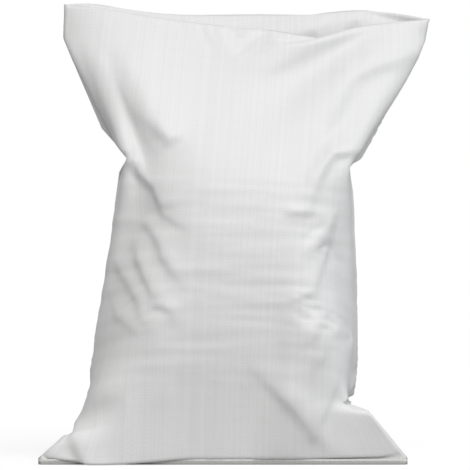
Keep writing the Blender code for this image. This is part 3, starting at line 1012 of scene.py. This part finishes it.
def make_cloth_material():
    """Satin white tape: tone from the weave, roughness from the tone, bump from weave and crumple."""
    material, tree, shader = new_material("woven_tape_cloth")
    flat = add_node(tree, "ShaderNodeUVMap", uv_map="cloth").outputs[0]
    weave = add_node(tree, "ShaderNodeGroup", node_tree=WEAVE)
    link(tree, flat, weave.inputs["Flat"])
    streaks = calculate(tree, "MULTIPLY", weave.outputs["Streak"], 0.5)
    tone = calculate(tree, "MULTIPLY_ADD", weave.outputs["Tone"], 0.5, streaks)
    colour = two_tones(tree, tone, CLOTH_DARK, CLOTH_LIGHT, 0.15, 0.85)
    # The hem strip below the stitched line gets its painted shade here.
    link(tree, paint_hem_shade(tree, colour, flat), shader.inputs["Base Color"])
    roughness = calculate(tree, "MULTIPLY_ADD", tone, ROUGHNESS_SPREAD, LEAST_ROUGHNESS)
    link(tree, roughness, shader.inputs["Roughness"])
    crumple = add_node(tree, "ShaderNodeTexNoise", noise_dimensions="3D")
    link(tree, add_node(tree, "ShaderNodeTexCoord").outputs["Object"], crumple.inputs["Vector"])
    crumple.inputs["Scale"].default_value = CRUMPLES_A_METRE
    crumple.inputs["Detail"].default_value = 3.0
    broad = add_bump(tree, crumple.outputs[0], CRUMPLE_HEIGHT, 0.35)
    fine = add_bump(tree, weave.outputs["Height"], WEAVE_HEIGHT, 0.5, broad)
    link(tree, fine, shader.inputs["Normal"])
    shader.inputs["IOR"].default_value = 1.49
    return material


sack_mesh.materials.append(make_cloth_material())
print("finish of the sack:", sack_mesh.materials[0].name)

# %% [markdown]
# ## The stitches
# The bottom is closed by one line of spun thread, about three stitches to the inch. Seen from
# the front it is a row of short dashes that sink into the cloth at both ends. One thin tube
# follows a line that goes over and under; its path is a rounded square wave.

# %% The stitches
STITCH = 0.0085
THREAD_RADIUS, THREAD_HEIGHT = 0.00045, 0.0058
# How long the thread's map is, which only sets how fine its twist looks.
THREAD_MAP = 0.6
# About 20 points to a stitch.
THREAD_POINTS, THREAD_SIDES = 1281, 8
# Where the thread lies in front and behind, from the middle of the hem, the steepness of the
# wave between them, and how much more of it is in front.
SEAM_FRONT, SEAM_BACK = 0.0049, 0.0012
WAVE_STEEP, WAVE_FORWARD = 7.0, 0.55


def stitch_path(count):
    """Points of the thread: y is the hem's front or back face, by a softened square wave of x."""
    x = np.linspace(thread_low[0], thread_high[0], count)
    wave = np.tanh(WAVE_STEEP * (np.cos(2.0 * np.pi * (x - x[0]) / STITCH) + WAVE_FORWARD))
    front, back = HEM_Y - SEAM_FRONT, HEM_Y + SEAM_BACK
    y = (front + back) / 2 + wave * (front - back) / 2
    return np.stack([x, y, np.full(count, THREAD_HEIGHT)])


def tube_along(path, radius, sides):
    """A round tube on a path: each ring is the point plus a circle across the path's direction."""
    ahead = np.gradient(path, axis=1)
    ahead /= np.linalg.norm(ahead, axis=0)
    up = np.array([0.0, 0.0, 1.0])[:, None]
    side = np.cross(ahead, up, axis=0)
    side /= np.linalg.norm(side, axis=0)
    turn = np.linspace(0.0, 2.0 * np.pi, sides, endpoint=False)
    circle = side[:, None, :] * np.cos(turn)[None, :, None] + up[:, None, :] * np.sin(turn)[None, :, None]
    return path[:, None, :] + radius * circle


thread_grid = tube_along(stitch_path(THREAD_POINTS), THREAD_RADIUS, THREAD_SIDES)
thread_along = np.linspace(0.0, THREAD_MAP, THREAD_POINTS)
thread_mesh = grid_to_mesh("stitching", thread_grid, thread_along, 2.0 * math.pi * THREAD_RADIUS)
stitching = put_in_scene("stitching", thread_mesh)
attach(stitching, "root")
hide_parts("hem_thread")
print("stitches", round((thread_high[0] - thread_low[0]) / STITCH))

# %% [markdown]
# ## The thread's finish
# Spun thread is matt and shows its twist: fine ridges that wind round it. A sine of a slanting line on the
# flat place gives the ridges in height, and the same sine paints the grooves between them darker, as
# painted shade.

# %% The thread's finish
# The darker tone is painted shade: it lies in the twist's grooves, where the bump is low.
THREAD_GROOVE_PAINTED_SHADE, THREAD_LIGHT = (0.60, 0.60, 0.58, 1.0), (0.78, 0.78, 0.76, 1.0)
TWIST_ALONG, TWIST_AROUND = 7000.0, 6000.0


def make_thread_material():
    """Matt spun thread: a fine slanting wave on the flat place stands for the twist, in height and as
    painted shade in its grooves.
    """
    material, tree, shader = new_material("spun_thread")
    flat = add_node(tree, "ShaderNodeUVMap", uv_map="cloth")
    parts = add_node(tree, "ShaderNodeSeparateXYZ")
    link(tree, flat.outputs[0], parts.inputs[0])
    around_it = calculate(tree, "MULTIPLY", parts.outputs[0], TWIST_AROUND)
    slant = calculate(tree, "MULTIPLY_ADD", parts.outputs[1], TWIST_ALONG, around_it)
    twist = calculate(tree, "MULTIPLY_ADD", calculate(tree, "SINE", slant), 0.5, 0.5)
    # Painted shade: the colour is darker where the twist's bump is low.
    link(tree, two_tones(tree, twist, THREAD_GROOVE_PAINTED_SHADE, THREAD_LIGHT), shader.inputs["Base Color"])
    shader.inputs["Roughness"].default_value = 0.8
    link(tree, add_bump(tree, twist, 0.0001, 1.0), shader.inputs["Normal"])
    return material


thread_mesh.materials.append(make_thread_material())
print("finish of the thread:", thread_mesh.materials[0].name)

# %% [markdown]
# ## The floor
# The photograph is a cut-out on white. A pale disc stands for its floor: it glows for the
# camera only, so that it looks white but throws little light back up on the cloth.

# %% The floor
FLOOR_TONE, FLOOR_GLOW = 0.40, 0.66
FLOOR_RADIUS, FLOOR_CORNERS = 14.0, 96


def make_floor():
    """A pale disc of floor, wide enough to reach the picture's edge from every side."""
    turn = np.linspace(0.0, 2.0 * np.pi, FLOOR_CORNERS, endpoint=False)
    rim = np.stack([FLOOR_RADIUS * np.cos(turn), FLOOR_RADIUS * np.sin(turn), 0.0 * turn], axis=1)
    mesh = bpy.data.meshes.new("floor")
    mesh.from_pydata(rim.tolist(), [], [tuple(range(FLOOR_CORNERS))])
    floor = put_in_scene("floor", mesh)
    material, tree, shader = new_material("floor_white")
    shader.inputs["Base Color"].default_value = (FLOOR_TONE, FLOOR_TONE, FLOOR_TONE, 1.0)
    shader.inputs["Roughness"].default_value = 0.9
    shader.inputs["Specular IOR Level"].default_value = 0.0
    shader.inputs["Emission Color"].default_value = (1.0, 1.0, 1.0, 1.0)
    seen = add_node(tree, "ShaderNodeLightPath").outputs["Is Camera Ray"]
    link(tree, calculate(tree, "MULTIPLY", seen, FLOOR_GLOW), shader.inputs["Emission Strength"])
    mesh.materials.append(material)
    return floor


print("floor", 2 * FLOOR_RADIUS, "m across, faces", len(make_floor().data.polygons))

# %% [markdown]
# ## The light
# The sack is lit softly from above and a little from the right, and its right flank is a little
# blue. One wide soft light over the front, a weak cool one far on the right and a white
# surrounding give the same fall of brightness from the mouth to the hem. The surrounding is
# weaker on the cloth than the camera sees it, or the folds would lose their shade.

# %% The light
SUN_STRENGTH, ROOM_STRENGTH, COOL_STRENGTH = 1.64, 0.50, 0.25
COOL_WHITE = (0.72, 0.80, 1.0)


def add_sun(name, side, height, softness, strength, colour=(1.0, 1.0, 1.0)):
    """A far soft light: side and height in degrees from straight in front, softness its width."""
    data = bpy.data.lights.new(name, "SUN")
    data.color = colour
    data.angle = math.radians(softness)
    data.energy = strength
    lamp = put_in_scene(name, data)
    turn, lift = math.radians(side), math.radians(height)
    towards = Vector((math.sin(turn) * math.cos(lift), -math.cos(turn) * math.cos(lift), math.sin(lift)))
    lamp.location = towards * 3.0
    lamp.rotation_euler = towards.to_track_quat("Z", "Y").to_euler()


add_sun("over_front", 17.0, 43.0, 50.0, SUN_STRENGTH)
add_sun("cool_right", 80.0, 15.0, 60.0, COOL_STRENGTH, COOL_WHITE)
world = bpy.data.worlds.new("white_room")
world.use_nodes = True
tree = world.node_tree
room = tree.nodes["Background"]
room.inputs["Color"].default_value = (1.0, 1.0, 1.0, 1.0)
seen = add_node(tree, "ShaderNodeLightPath").outputs["Is Camera Ray"]
link(tree, blend_values(tree, seen, ROOM_STRENGTH, 1.0), room.inputs["Strength"])
bpy.context.scene.world = world
bpy.context.scene.view_settings.view_transform = "Standard"
print("lights", len(bpy.data.lights), "and a white surrounding")
